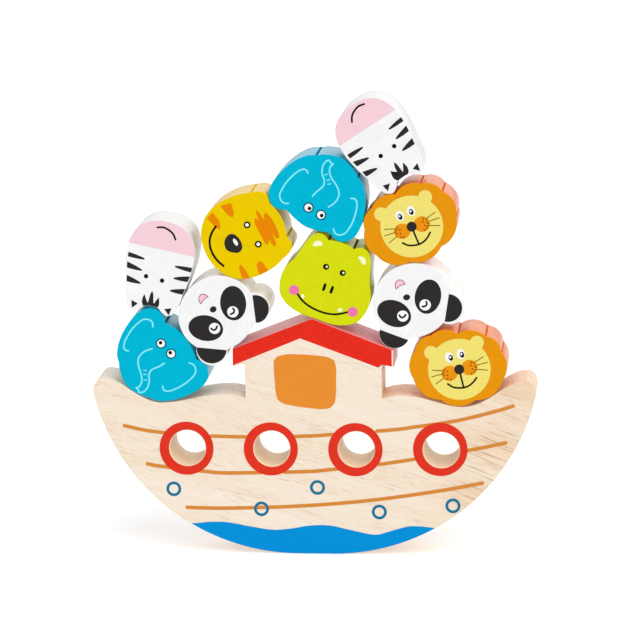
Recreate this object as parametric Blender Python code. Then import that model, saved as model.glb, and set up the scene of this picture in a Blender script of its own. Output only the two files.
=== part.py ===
"""Wooden balance game: an ark board on a rounded keel, with ten animal head blocks stacked on it.

Every piece is sawn from one thickness of board, so each is a flat outline with a thickness and
a small chamfer along its edges. The front faces -Y, the keel rests on Z = 0 and X = 0 is the
middle of the ark. The heads are stacked one after another: each comes straight down from above,
at its own place and tilt, until it is one clearance away from whatever lies below it.
"""
from math import cos, pi, radians, sin

import bpy
import numpy as np

# Lengths are in millimetres and become metres when the objects are made.
MM = 0.001

BOARD_THICKNESS = 30.0
HEAD_THICKNESS = 30.0
EDGE_CHAMFER = 1.0
CLEARANCE = 0.3

# Hull: a short flat on the keel, then one round bilge up to the gunwale, where the hull is widest.
HULL_WIDTH = 220.0
KEEL_FLAT = 17.0
GUNWALE_HEIGHT = 82.0
BOW_CREST_HEIGHT = 88.5
BOW_ROUND = 4.8

# Deck: a hollow on either side that holds a head, and a low hump before the house wall.
HOLLOW_REACH = 74.2
HOLLOW_HEIGHT = 75.4
HUMP_REACH = 44.5
HUMP_HEIGHT = 80.8
WALL_FOOT_HEIGHT = 79.0

# House and roof.
HOUSE_WIDTH = 67.8
ROOF_WIDTH = 80.0
EAVE_UNDERSIDE = 95.1
EAVE_ROOT = 96.4
EAVE_TOP = 103.9
RIDGE_HEIGHT = 119.5

# Four portholes in a row.
PORTHOLE_RADIUS = 8.9
PORTHOLE_PITCH = 42.1
PORTHOLE_HEIGHT = 53.6
PORTHOLE_SIDES = 32

# Heads, each measured with its face upright.
ZEBRA_WIDTH = 33.8
ZEBRA_HEIGHT = 46.9
ELEPHANT_WIDTH = 48.5
ELEPHANT_HEIGHT = 38.2
TIGER_WIDTH = 41.0
TIGER_HEIGHT = 41.6
HIPPO_WIDTH = 45.6
HIPPO_HEIGHT = 41.0
LION_WIDTH = 47.2
LION_HEIGHT = 37.5
PANDA_FACE_WIDTH = 39.5
PANDA_FACE_HEIGHT = 36.5
PANDA_EAR_RADIUS = 7.7
PANDA_EAR_REACH = 14.9
PANDA_EAR_RISE = 11.1

# Half outlines, from the top of the head to the chin, in percent of the head's half width and
# half height. The knots named as notches are creases; the curve runs smoothly through the others.
ZEBRA_KNOTS = [(0, 85), (20, 87), (33, 95), (48, 100), (65, 94), (77, 77), (85, 50), (95, 16),
               (100, -19), (96, -51), (77, -79), (44, -95), (0, -100)]
ZEBRA_NOTCHES = []
ELEPHANT_KNOTS = [(0, 100), (25, 95), (49, 85), (60, 91), (74, 93), (89, 83), (98, 64), (100, 42),
                  (96, 11), (87, -22), (72, -53), (60, -68), (47, -76.5), (35, -87), (20, -95),
                  (0, -100)]
ELEPHANT_NOTCHES = [2, 12]
TIGER_KNOTS = [(0, 100), (26, 97), (45, 91), (55, 93), (66, 94), (78, 86), (85, 73), (88, 62),
               (96, 38), (100, 7), (98, -23), (89, -52), (70, -76), (41, -93), (0, -100)]
TIGER_NOTCHES = [2, 7]
HIPPO_KNOTS = [(0, 96), (18, 94), (29, 91), (37, 97), (47, 100), (59, 96), (68, 84), (75, 65),
               (80, 43), (87, 19), (96, -1), (100, -26), (97, -51), (88, -73), (71, -88),
               (46, -98), (0, -100)]
HIPPO_NOTCHES = [2]
KNOT_STEPS = 3

# Lion: the notches between the mane's locks, in percent of the half width and half height. Each
# lock is an arc that bulges by this share of its chord.
LION_NOTCHES = [(0, 86), (57, 81), (90, 39), (93, -35), (36, -90)]
LOCK_BULGE = 0.18
LOCK_STEPS = 8
PANDA_STEPS = 84

# The stack, from the bottom up: head, kind, what it leans on, how far its middle is to the right of
# that, and its tilt, clockwise from the front, in degrees.
STACK = [
    ("elephant_low", "elephant", "left hollow", -4.0, 50.1),
    ("lion_low", "lion", "right hollow", -2.6, 0.3),
    ("panda_left", "panda", "left eave", -7.5, 134.9),
    ("panda_right", "panda", "right eave", 9.4, 155.6),
    ("hippo", "hippo", "ridge", 8.2, 19.6),
    ("zebra_low", "zebra", "elephant_low", 2.1, 190.9),
    ("tiger", "tiger", "panda_left", 14.1, 63.8),
    ("lion_top", "lion", "panda_right", -1.0, -26.7),
    ("elephant_top", "elephant", "hippo", -2.3, 208.2),
    ("zebra_top", "zebra", "lion_top", -15.0, 144.8),
]

# Colour of the printed face, as linear red, green and blue, for each kind of head and the ark.
COLOURS = {
    "ark": (0.90, 0.78, 0.62),
    "elephant": (0.00, 0.45, 0.68),
    "lion": (0.86, 0.32, 0.02),
    "panda": (0.90, 0.90, 0.90),
    "hippo": (0.68, 0.73, 0.02),
    "zebra": (0.92, 0.91, 0.91),
    "tiger": (0.84, 0.60, 0.01),
}
ROUGHNESS = 0.35


def mirrored(half):
    """Close a right half, given from the top of the axis to its bottom, with its mirror image."""
    return np.vstack([half, half[-2:0:-1] * (-1.0, 1.0)])


def flowing(knots, notches):
    """Closed curve through the knots: one cubic between each pair, creased at the notches."""
    following = np.roll(knots, -1, axis=0)
    ahead = following - knots
    behind = np.roll(ahead, 1, axis=0)
    reach = np.linalg.norm(ahead, axis=1, keepdims=True)
    back = np.linalg.norm(behind, axis=1, keepdims=True)
    heading = (behind / back * reach + ahead / reach * back) / (reach + back)
    leaving = heading * reach
    arriving = heading * back
    leaving[notches] = ahead[notches]
    arriving[notches] = behind[notches]
    t = (np.arange(KNOT_STEPS) / KNOT_STEPS)[None, :, None]
    share = 2 * t**3 - 3 * t**2 + 1
    curve = share * knots[:, None] + (1 - share) * following[:, None]
    curve = curve + (t**3 - 2 * t**2 + t) * leaving[:, None]
    curve = curve + (t**3 - t**2) * np.roll(arriving, -1, axis=0)[:, None]
    return curve.reshape(-1, 2)


def knotted_head(knots, notches, width, height):
    """Head outline from its half knots in percent."""
    closed = mirrored(np.array(knots) / 100 * (width / 2, height / 2))
    return flowing(closed, notches + [len(closed) - i for i in notches])


def lion_outline():
    """Lion outline: a ring of arcs that meet in the mane's notches."""
    half = np.array(LION_NOTCHES) / 100 * (LION_WIDTH / 2, LION_HEIGHT / 2)
    notches = np.vstack([half, half[:0:-1] * (-1.0, 1.0)])
    chord = np.roll(notches, -1, axis=0) - notches
    outward = np.stack([-chord[:, 1], chord[:, 0]], axis=1)
    opening = 2 * np.arctan(2 * LOCK_BULGE)
    turn = opening * (np.arange(LOCK_STEPS) / LOCK_STEPS * 2 - 1)
    along = np.sin(turn) / np.sin(opening)
    rise = (np.cos(turn) - np.cos(opening)) / (2 * np.sin(opening))
    ring = (notches + chord / 2)[:, None] + chord[:, None] / 2 * along[None, :, None]
    ring = ring + outward[:, None] * rise[None, :, None]
    return ring.reshape(-1, 2)


def panda_outline():
    """Panda outline: in each direction, the farther of the face's ellipse and the two ears."""
    turn = np.arange(PANDA_STEPS) / PANDA_STEPS * 2 * pi
    ray = np.stack([np.sin(turn), np.cos(turn)], axis=1)
    far = 1 / np.linalg.norm(ray / (PANDA_FACE_WIDTH / 2, PANDA_FACE_HEIGHT / 2), axis=1)
    for side in (-1, 1):
        ear = np.array([side * PANDA_EAR_REACH, PANDA_EAR_RISE])
        along = ray @ ear
        depth = along**2 - ear @ ear + PANDA_EAR_RADIUS**2
        hit = along + np.sqrt(np.maximum(depth, 0.0))
        far = np.where((depth > 0) & (along > 0), np.maximum(far, hit), far)
    return ray * far[:, None]


def swing(start, end, steps):
    """Half a wave from one turning point of the deck line to the next, without the last point."""
    t = np.arange(steps) / steps
    ease = (1 - np.cos(pi * t)) / 2
    return np.stack([start[0] + (end[0] - start[0]) * t,
                     start[1] + (end[1] - start[1]) * ease], axis=1)


def ark_outline():
    """Ark outline, from the ridge down the right side to the keel, and mirrored."""
    beam = HULL_WIDTH / 2
    flat = KEEL_FLAT / 2
    wall = HOUSE_WIDTH / 2
    eave = ROOF_WIDTH / 2
    house = np.array([(0, RIDGE_HEIGHT), (eave, EAVE_TOP), (eave, EAVE_UNDERSIDE),
                      (wall, EAVE_ROOT)])
    t = np.arange(4) / 4
    hump = np.stack([wall + (HUMP_REACH - wall) * t,
                     HUMP_HEIGHT - (HUMP_HEIGHT - WALL_FOOT_HEIGHT) * (1 - t)**2], axis=1)
    crest = (beam - BOW_ROUND, BOW_CREST_HEIGHT)
    descent = swing((HUMP_REACH, HUMP_HEIGHT), (HOLLOW_REACH, HOLLOW_HEIGHT), 9)
    ascent = swing((HOLLOW_REACH, HOLLOW_HEIGHT), crest, 10)
    turn = np.arange(6) / 6 * pi / 2
    bow = np.stack([crest[0] + BOW_ROUND * np.sin(turn),
                    GUNWALE_HEIGHT + (BOW_CREST_HEIGHT - GUNWALE_HEIGHT) * np.cos(turn)], axis=1)
    bilge = ((beam - flat)**2 + GUNWALE_HEIGHT**2) / (2 * GUNWALE_HEIGHT)
    top = np.arcsin((bilge - GUNWALE_HEIGHT) / bilge)
    fall = top + (pi / 2 - top) * np.arange(27) / 26
    side = np.stack([flat + bilge * np.cos(fall), bilge - bilge * np.sin(fall)], axis=1)
    half = np.vstack([house, hump, descent, ascent, bow, side])
    return np.vstack([half, half[:0:-1] * (-1.0, 1.0)])


def porthole_outline(middle):
    """Porthole outline, a circle."""
    turn = np.arange(PORTHOLE_SIDES) / PORTHOLE_SIDES * 2 * pi
    return np.stack([middle + PORTHOLE_RADIUS * np.cos(turn),
                     PORTHOLE_HEIGHT + PORTHOLE_RADIUS * np.sin(turn)], axis=1)


def turned(outline, tilt):
    """Outline turned clockwise, seen from the front."""
    c = cos(radians(tilt))
    s = sin(radians(tilt))
    x, y = outline.T
    return np.stack([x * c + y * s, y * c - x * s], axis=1)


def grown(outline, margin):
    """Clockwise outline moved outwards by a margin on every side."""
    side = np.roll(outline, -1, axis=0) - outline
    normal = np.stack([-side[:, 1], side[:, 0]], axis=1)
    normal = normal / np.linalg.norm(side, axis=1, keepdims=True)
    both = normal + np.roll(normal, 1, axis=0)
    return outline + margin * both * 2 / np.maximum(np.sum(both**2, axis=1, keepdims=True), 1.0)


def height_over(points, loop):
    """Smallest height of the points over those sides of the loop that they pass straight above."""
    start = loop
    end = np.roll(loop, -1, axis=0)
    run = end[:, 0] - start[:, 0]
    x = points[:, :1]
    passes = (x >= np.minimum(start[:, 0], end[:, 0])) & (x <= np.maximum(start[:, 0], end[:, 0]))
    passes = passes & (run != 0)
    share = (x - start[:, 0]) / np.where(run != 0, run, 1.0)
    level = start[:, 1] + share * (end[:, 1] - start[:, 1])
    return np.where(passes, points[:, 1:] - level, np.inf).min()


def drop(outline, placed):
    """How far the outline, which is above the placed ones, can come straight down."""
    upside = (1.0, -1.0)
    fit = grown(outline, CLEARANCE)
    return min(min(height_over(fit, loop), height_over(loop * upside, fit * upside))
               for loop in placed)


def finish(name, colour):
    """Satin printed wood."""
    material = bpy.data.materials.new(name)
    material.use_nodes = True
    shader = material.node_tree.nodes["Principled BSDF"]
    shader.inputs["Base Color"].default_value = (*colour, 1.0)
    shader.inputs["Roughness"].default_value = ROUGHNESS
    shader.inputs["Metallic"].default_value = 0.0
    material.diffuse_color = (*colour, 1.0)
    return material


def board(name, loops, thickness, material, collection):
    """Board with a flat outline: a filled 2D curve, with a hole for each loop after the first."""
    curve = bpy.data.curves.new(name, "CURVE")
    curve.dimensions = "2D"
    curve.fill_mode = "BOTH"
    for loop in loops:
        spline = curve.splines.new("POLY")
        spline.points.add(len(loop) - 1)
        flat = np.zeros((len(loop), 4))
        flat[:, :2] = loop * MM
        flat[:, 3] = 1.0
        spline.points.foreach_set("co", flat.ravel())
        spline.use_cyclic_u = True
    curve.extrude = (thickness / 2 - EDGE_CHAMFER) * MM
    curve.bevel_depth = EDGE_CHAMFER * MM
    curve.bevel_resolution = 0
    curve.offset = -EDGE_CHAMFER * MM
    curve.materials.append(material)
    piece = bpy.data.objects.new(name, curve)
    weld = piece.modifiers.new("weld", "WELD")
    weld.merge_threshold = 0.00001
    collection.objects.link(piece)
    return piece


for old in list(bpy.data.objects):
    bpy.data.objects.remove(old, do_unlink=True)

game = bpy.data.collections.new("balance_game")
bpy.context.scene.collection.children.link(game)

outlines = {
    "zebra": knotted_head(ZEBRA_KNOTS, ZEBRA_NOTCHES, ZEBRA_WIDTH, ZEBRA_HEIGHT),
    "elephant": knotted_head(ELEPHANT_KNOTS, ELEPHANT_NOTCHES, ELEPHANT_WIDTH, ELEPHANT_HEIGHT),
    "tiger": knotted_head(TIGER_KNOTS, TIGER_NOTCHES, TIGER_WIDTH, TIGER_HEIGHT),
    "hippo": knotted_head(HIPPO_KNOTS, HIPPO_NOTCHES, HIPPO_WIDTH, HIPPO_HEIGHT),
    "lion": lion_outline(),
    "panda": panda_outline(),
}

hull = ark_outline()
portholes = [porthole_outline((i - 1.5) * PORTHOLE_PITCH) for i in range(4)]
ark = board("ark", [hull] + portholes, BOARD_THICKNESS, finish("ark", COLOURS["ark"]), game)
ark.rotation_euler = (pi / 2, 0, 0)

# Each head starts above everything that is in place and comes straight down.
stack = [hull]
places = {
    "left hollow": -HOLLOW_REACH,
    "right hollow": HOLLOW_REACH,
    "left eave": -ROOF_WIDTH / 2,
    "right eave": ROOF_WIDTH / 2,
    "ridge": 0.0,
}
for name, kind, support, shift, tilt in STACK:
    leaning = turned(outlines[kind], tilt)
    x = places[support] + shift
    start = max(loop[:, 1].max() for loop in stack) - leaning[:, 1].min() + 2 * CLEARANCE
    z = start - drop(leaning + (x, start), stack)
    places[name] = x
    stack.append(leaning + (x, z))
    head = board(name, [outlines[kind]], HEAD_THICKNESS, finish(name, COLOURS[kind]), game)
    head.rotation_euler = (pi / 2, radians(tilt), 0)
    head.location = (x * MM, (HEAD_THICKNESS - BOARD_THICKNESS) / 2 * MM, z * MM)
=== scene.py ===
# %% [markdown]
# # A wooden balance game
#
# The toy is an ark sawn from a thick pale board, standing on a short flat of its rounded keel,
# with ten animal heads stacked on its deck and roof. Every piece is an outline with a thickness,
# softly rounded edges, paint and print. So this lesson needs only a few tools: outlines as arrays
# of points, a function that turns them into a closed solid, and materials made of nodes.
#
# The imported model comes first. It is the fixed frame: each piece made here goes exactly where its
# solid is.

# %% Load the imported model
from math import cos, pi, radians, sin

import bpy
import numpy as np
from mathutils import Matrix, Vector
from mathutils.geometry import tessellate_polygon
from numpy.linalg import norm


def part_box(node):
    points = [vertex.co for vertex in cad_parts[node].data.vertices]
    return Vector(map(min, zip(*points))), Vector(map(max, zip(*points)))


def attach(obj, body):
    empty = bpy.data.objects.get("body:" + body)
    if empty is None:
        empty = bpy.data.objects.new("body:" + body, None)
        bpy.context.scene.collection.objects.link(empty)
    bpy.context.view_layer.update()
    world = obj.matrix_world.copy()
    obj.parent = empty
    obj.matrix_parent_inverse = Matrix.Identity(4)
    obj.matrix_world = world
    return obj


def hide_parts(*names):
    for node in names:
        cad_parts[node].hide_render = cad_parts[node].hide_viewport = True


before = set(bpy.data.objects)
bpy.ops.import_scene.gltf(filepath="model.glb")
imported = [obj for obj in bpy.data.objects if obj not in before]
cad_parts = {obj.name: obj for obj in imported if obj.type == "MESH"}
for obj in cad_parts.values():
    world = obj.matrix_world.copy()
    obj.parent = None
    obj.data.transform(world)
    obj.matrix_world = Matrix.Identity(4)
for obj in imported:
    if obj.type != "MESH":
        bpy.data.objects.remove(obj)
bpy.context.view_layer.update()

MM = 0.001

# %% [markdown]
# ## Camera
#
# A long lens from nearly straight ahead, a little to the right and above, so that the front faces
# look almost flat and only a sliver of the tops and right sides shows. A Track To constraint
# could aim it, but its matrix is easy to write out: columns for its right, its up and its
# backward direction, and one for its place.

# %% Aim the camera
AZIMUTH, ELEVATION, ROLL = 5.06, 10.81, -0.625
TARGET = np.array([2.35, 0.0, 115.87])
DISTANCE = 1820.0
FOCAL_LENGTH, SENSOR = 206.2, 36.0


def linked(name, data):
    """New object for a camera, a lamp or a mesh, put into the scene."""
    thing = bpy.data.objects.new(name, data)
    bpy.context.collection.objects.link(thing)
    return thing


turn, rise, roll = np.radians([AZIMUTH, ELEVATION, ROLL])
level = np.array([cos(turn), sin(turn), 0.0])
backward = np.array([sin(turn) * cos(rise), -cos(turn) * cos(rise), sin(rise)])
upward = np.cross(backward, level)
pose = np.eye(4)
pose[:3, 0] = cos(roll) * level + sin(roll) * upward
pose[:3, 1] = cos(roll) * upward - sin(roll) * level
pose[:3, 2] = backward
pose[:3, 3] = (TARGET + DISTANCE * backward) * MM

lens = bpy.data.cameras.new("camera")
lens.lens, lens.sensor_width = FOCAL_LENGTH, SENSOR
camera = linked("camera", lens)
camera.matrix_world = Matrix(pose)
bpy.context.scene.camera = camera
print("camera at", np.round(pose[:3, 3], 3), "m")

# %% [markdown]
# ## Light
#
# The toy stands in a white studio: light comes from all round, a little more from the front right
# and above. Many area lights could do this, but a white world and two very wide suns are quieter.
# The key sun casts shadows and the fill sun casts none, which leaves only a soft dark line where
# two pieces touch. A broad panel behind brightens the tops and ends. The standard view transform
# keeps printed colours as they are.

# %% Light the studio
WHITE = (1.0, 1.0, 1.0, 1.0)
WORLD_LIGHT, KEY_LIGHT, FILL_LIGHT = 0.6, 1.34, 1.03
SUN_WIDTH, SUN_TILT, SUN_TURN = radians(60), radians(38), radians(35)
RIM_WIDTH, RIM_HEIGHT, RIM_GLOW = 3.0, 1.4, 0.7
RIM_BEHIND, RIM_FOOT = 1.6, 0.25

scene = bpy.context.scene
scene.view_settings.view_transform = "Standard"
scene.world = bpy.data.worlds.new("studio")
scene.world.use_nodes = True
sky = scene.world.node_tree.nodes["Background"].inputs
sky["Color"].default_value = WHITE
sky["Strength"].default_value = WORLD_LIGHT

for name, energy, shadow in (("key", KEY_LIGHT, True), ("fill", FILL_LIGHT, False)):
    sun = bpy.data.lights.new(name, "SUN")
    sun.energy, sun.angle, sun.use_shadow = energy, SUN_WIDTH, shadow
    linked(name, sun).rotation_euler = (SUN_TILT, 0.0, SUN_TURN)

rim = bpy.data.lights.new("rim", "AREA")
rim.shape = "RECTANGLE"
rim.size, rim.size_y = RIM_WIDTH, RIM_HEIGHT
rim.energy = RIM_GLOW * pi * RIM_WIDTH * RIM_HEIGHT
panel = linked("rim", rim)
panel.location = (0.0, RIM_BEHIND, RIM_FOOT + RIM_HEIGHT / 2)
panel.rotation_euler = (radians(-90), 0.0, 0.0)
print("world", WORLD_LIGHT, "key", KEY_LIGHT, "fill", FILL_LIGHT, "rim", round(rim.energy, 1), "W")

# %% [markdown]
# ## Materials
#
# Every finish here is a Principled shader with a pattern behind its colour and its roughness. The
# patterns are noise on Object coordinates: all pieces sit at the origin, so these are metres in
# the toy's own frame. Noise becomes wood when it is stretched along the grain: a Mapping node set
# to Texture turns the coordinates and divides them by a fibre's length along, across and through
# the board.
#
# Colours are the 0-255 codes of a screen, turned into light. The studio is a little brighter than
# 1, so paint is made a little darker to come out as its code says.

# %% Helpers for nodes and colours
PAINT_GAIN = 0.785


def code(red, green, blue, gain=PAINT_GAIN):
    """Linear colour of a screen code: c / 12.92 near black, else ((c + 0.055) / 1.055) ** 2.4."""
    share = np.array([red, green, blue]) / 255.0
    light = np.where(share <= 0.04045, share / 12.92, ((share + 0.055) / 1.055) ** 2.4)
    return (*(light * gain).tolist(), 1.0)


def shaded(colour, factor):
    """The same colour, lighter or darker."""
    return tuple(min(1.0, c * factor) for c in colour[:3]) + (1.0,)


def add(tree, kind, inputs, **settings):
    """Add a node; an input is either a plain value or another node's output to link."""
    node = tree.nodes.new(kind)
    for key, value in settings.items():
        setattr(node, key, value)
    for key, value in inputs.items():
        if isinstance(value, bpy.types.NodeSocket):
            tree.links.new(value, node.inputs[key])
        else:
            node.inputs[key].default_value = value
    return node


def fibre(tree, turn, along, across, through, detail=2.0):
    """Noise whose specks are so many millimetres along, across and through the grain."""
    place = add(tree, "ShaderNodeTexCoord", {}).outputs["Object"]
    grain = add(tree, "ShaderNodeMapping",
                {"Vector": place, "Rotation": (0.0, turn, 0.0),
                 "Scale": (along * MM, through * MM, across * MM)}, vector_type="TEXTURE")
    noise = add(tree, "ShaderNodeTexNoise",
                {"Vector": grain.outputs["Vector"], "Scale": 1.0, "Detail": detail})
    return noise.outputs["Fac"]


def spread(value, low, high, to_low, to_high):
    """Straight line from the low to the high value, flat beyond, in the value's node tree."""
    return add(value.id_data, "ShaderNodeMapRange",
               {"Value": value, "From Min": low, "From Max": high,
                "To Min": to_low, "To Max": to_high}).outputs["Result"]


def blend(share, first, second):
    """Colour between two others."""
    return add(share.id_data, "ShaderNodeMix", {0: share, 6: first, 7: second},
               data_type="RGBA").outputs[2]


def times(first, second):
    """Product of two values."""
    return add(first.id_data, "ShaderNodeMath", {0: first, 1: second},
               operation="MULTIPLY").outputs[0]


def finish(name, colour, roughness, gloss):
    """New material with a plain Principled shader; returns it, its node tree and the shader."""
    material = bpy.data.materials.new(name)
    material.use_nodes = True
    shader = material.node_tree.nodes["Principled BSDF"]
    shader.inputs["Base Color"].default_value = colour
    shader.inputs["Roughness"].default_value = roughness
    shader.inputs["Specular IOR Level"].default_value = gloss
    material.diffuse_color = colour
    return material, material.node_tree, shader


def dress(shader, colour, roughness, height=None, strength=0.0, depth=0.0):
    """Link a pattern's colour, roughness and relief, its depth in millimetres, to the shader."""
    links = shader.id_data.links
    links.new(colour, shader.inputs["Base Color"])
    links.new(roughness, shader.inputs["Roughness"])
    if height is not None:
        bump = add(shader.id_data, "ShaderNodeBump",
                   {"Strength": strength, "Distance": depth * MM, "Height": height})
        links.new(bump.outputs["Normal"], shader.inputs["Normal"])


print("helpers ready; white paint is", np.round(code(250, 250, 250)[:3], 3))

# %% [markdown]
# ### Rubberwood
#
# The ark's board is bare wood under a clear coat: cream, with broad warmer bands, a fine silk,
# and short dark pore lines that slope down to the right by about 17 degrees. Its right end is
# riper, with longer dark streaks. Each of these is one noise, cut off at its own height, and the
# place on the board says how much of it shows. The sawn edges are darker and pinker than the
# faces, and the drilled holes are warmer.

# %% Wood for the ark
GRAIN_TURN, STREAK_TURN = radians(17), radians(22)
# specks of each noise: millimetres along, across and through the grain, and levels of detail
BANDS, HEART, CROWDS = (160, 10, 30, 3.0), (120, 9, 30), (60, 9, 20)
PORES, SILK, STREAKS = (6.5, 0.27, 2.0), (5.0, 0.28, 1.2), (24.0, 0.7, 3.0)
# where each noise is cut off, low and high, and how much of it shows at either
BANDS_CUT, HEART_CUT = (0.34, 0.66, 0.0, 1.0), (0.34, 0.56, 0.2, 1.0)
CROWDS_CUT, SILK_CUT = (0.38, 0.60, 0.25, 1.0), (0.3, 0.7, 0.0, 0.4)
PORES_CUT, STREAKS_CUT = (0.56, 0.74, 0.0), (0.55, 0.68, 0.0)
# metres to the right, or up, over which pores and streaks come in or fade out, and how much
PORES_IN, STREAKS_IN = (-0.10, 0.09, 0.8, 1.0), (0.055, 0.085, 0.0, 1.0)
STREAKS_UP, STREAKS_OUT = (0.024, 0.036, 0.3, 1.0), (0.060, 0.072, 1.0, 0.2)
RIPENESS, SILK_SHADE = (0.0, 0.9), 0.96
# the clear coat: roughness, its change from smooth wood to pores, gloss; the pores' relief
COAT, COAT_CUT, COAT_GLOSS = 0.45, (0.3, 0.8, 0.40, 0.55), 0.15
PORE_RELIEF = (0.25, 0.2)


def rubberwood(name, pale, warm, ripe, pore, strength, ripening):
    """Bands between two tones, riper to the right, silk, pores where fine noise is high and
    pores are many, and long streaks at mid height of the right end."""
    pale, warm, ripe, pore = (code(*tone) for tone in (pale, warm, ripe, pore))
    material, tree, shader = finish(name, pale, COAT, COAT_GLOSS)
    place = add(tree, "ShaderNodeTexCoord", {}).outputs["Object"]
    apart = add(tree, "ShaderNodeSeparateXYZ", {"Vector": place})
    right, up = apart.outputs["X"], apart.outputs["Z"]
    bands = spread(fibre(tree, GRAIN_TURN, *BANDS), *BANDS_CUT)
    heart = times(spread(right, *ripening, *RIPENESS),
                  spread(fibre(tree, GRAIN_TURN, *HEART), *HEART_CUT))
    many = times(spread(fibre(tree, GRAIN_TURN, *CROWDS), *CROWDS_CUT),
                 spread(right, *PORES_IN))
    pores = fibre(tree, GRAIN_TURN, *PORES)
    lines = times(spread(pores, *PORES_CUT, strength), many)
    dark = fibre(tree, STREAK_TURN, *STREAKS)
    zone = times(spread(up, *STREAKS_UP), spread(up, *STREAKS_OUT))
    zone = times(zone, spread(right, *STREAKS_IN))
    streaks = times(spread(dark, *STREAKS_CUT, strength), zone)
    silk = spread(fibre(tree, GRAIN_TURN, *SILK), *SILK_CUT)
    colour = blend(bands, pale, warm)
    layers = ((heart, ripe), (silk, shaded(warm, SILK_SHADE)), (lines, pore), (streaks, pore))
    for share, tone in layers:
        colour = blend(share, colour, tone)
    dress(shader, colour, spread(pores, *COAT_CUT), pores, *PORE_RELIEF)
    return material


board_wood = rubberwood("board_wood", (252, 240, 223), (247, 229, 206), (240, 206, 166),
                        (190, 140, 94), strength=0.8, ripening=(0.05, 0.095))
edge_wood = rubberwood("edge_wood", (234, 222, 208, 0.95), (228, 206, 188, 0.95),
                       (238, 195, 150, 0.95), (176, 134, 104), strength=0.6,
                       ripening=(0.0, 0.035))
bore_wood = rubberwood("bore_wood", (255, 232, 200), (248, 218, 180), (246, 212, 172),
                       (196, 152, 112), strength=0.6, ripening=(0.05, 0.09))
print("wood:", board_wood.name, edge_wood.name, bore_wood.name)

# %% [markdown]
# ### Paint and ink
#
# The heads' faces are flat and matt, and their sides keep a satin gloss: seen along the surface
# they mirror the white room, which washes their colour out. The roof's thin paint gets a sheen
# for the same reason, and its red is also painted paler and pinker than the print: a painted
# reflection. The wood's grain shows through paint as a faint streak. The print is ink
# with a fine mottle, a little streaky on the bare wood of the roof and the window.

# %% Paint and ink finishes
CLOUD, PAINT_GRAIN = (7.0, 5.0, 5.0, 3.0), (10.0, 0.5, 0.9)
MOTTLE, INK_GRAIN = (0.7, 0.7, 0.7, 3.0), (3.5, 0.5, 0.9)
# where a noise is cut off, and the shades that a mottle varies between
MIDDLE, PAINT_CUT, INK_CUT = (0.3, 0.7), (0.45, 0.75), (0.42, 0.72)
PAINT_SHADES, INK_SHADES = (0.96, 1.03), (0.95, 1.04)
SMOOTHER, ROUGHER, PAINT_RELIEF = 0.05, 0.08, (0.2, 0.15)
INK_ROUGH, INK_ROUGHS, INK_GLOSS = 0.45, (0.38, 0.52), 0.03


def painted(name, colour, turn, roughness, gloss, streak, sheen=0.0):
    """Paint over grain: cloudy mottle, streaks that darken it by the given share, and a sheen
    that pales it where it is seen along the surface."""
    colour = code(*colour)
    material, tree, shader = finish(name, colour, roughness, gloss)
    shader.inputs["Sheen Weight"].default_value = sheen
    cloud = spread(fibre(tree, turn, *CLOUD), *MIDDLE, 0.0, 1.0)
    grain = fibre(tree, turn, *PAINT_GRAIN)
    tone = blend(cloud, *(shaded(colour, shade) for shade in PAINT_SHADES))
    tone = blend(spread(grain, *PAINT_CUT, 0.0, 1.0), tone, shaded(colour, 1 - streak))
    dress(shader, tone, spread(grain, *MIDDLE, roughness - SMOOTHER, roughness + ROUGHER),
          grain, *PAINT_RELIEF)
    return material


def printed(name, colour, streak):
    """Ink: a mottle of about half a millimetre in its colour and its gloss, and, where the wood
    shows through it, streaks that darken it by the given share."""
    colour = code(*colour)
    material, tree, shader = finish(name, colour, INK_ROUGH, INK_GLOSS)
    mottle = fibre(tree, 0.0, *MOTTLE)
    tone = blend(spread(mottle, *MIDDLE, 0.0, 1.0),
                 *(shaded(colour, shade) for shade in INK_SHADES))
    if streak:
        grain = spread(fibre(tree, GRAIN_TURN, *INK_GRAIN), *INK_CUT, 0.0, 1.0)
        tone = blend(grain, tone, shaded(colour, 1 - streak))
    dress(shader, tone, spread(mottle, *MIDDLE, *INK_ROUGHS))
    return material


INKS = {
    "black": (47, 44, 44), "line_black": (16, 14, 14), "white": (252, 252, 252),
    "tooth_cream": (252, 252, 204), "line_cyan": (136, 240, 252), "rim_teal": (0, 72, 98),
    "stripe_orange": (236, 136, 0), "muzzle_orange": (238, 150, 16),
    "face_yellow": (244, 228, 118), "face_rim": (226, 160, 40), "whisker": (116, 104, 20),
    "freckle": (120, 36, 6), "muzzle_pink": (248, 210, 220), "cheek_pink": (242, 118, 178),
    "tongue_pink": (250, 200, 220), "tongue_line": (150, 90, 120), "roof_red": (237, 47, 32),
    "ring_red": (226, 54, 36), "plank_tan": (218, 140, 60), "window_orange": (236, 146, 52),
    "wave_blue": (0, 146, 218), "bubble_teal": (28, 118, 154),
}
INK_STREAK = {"roof_red": 0.2, "window_orange": 0.05}
inks = {name: printed(name, tone, INK_STREAK.get(name, 0.0)) for name, tone in INKS.items()}
print(len(inks), "inks")

# %% [markdown]
# ## Outlines
#
# An outline is an array of points in millimetres, x to the right and z up as seen from the front.
# It is drawn through a few knots joined by cubic curves; a knot can be a notch, where the curve
# breaks. Bezier curve objects could draw the same lines, but an array can be moved inwards,
# measured and turned in one line of numpy.

# %% Curves through knots
CURVE_STEPS = 10


def xz(text):
    """Points from a text of x z pairs."""
    return np.array(text.split(), float).reshape(-1, 2)


def flip(points):
    """Mirror image, left to right."""
    return points * (-1.0, 1.0)


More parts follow.
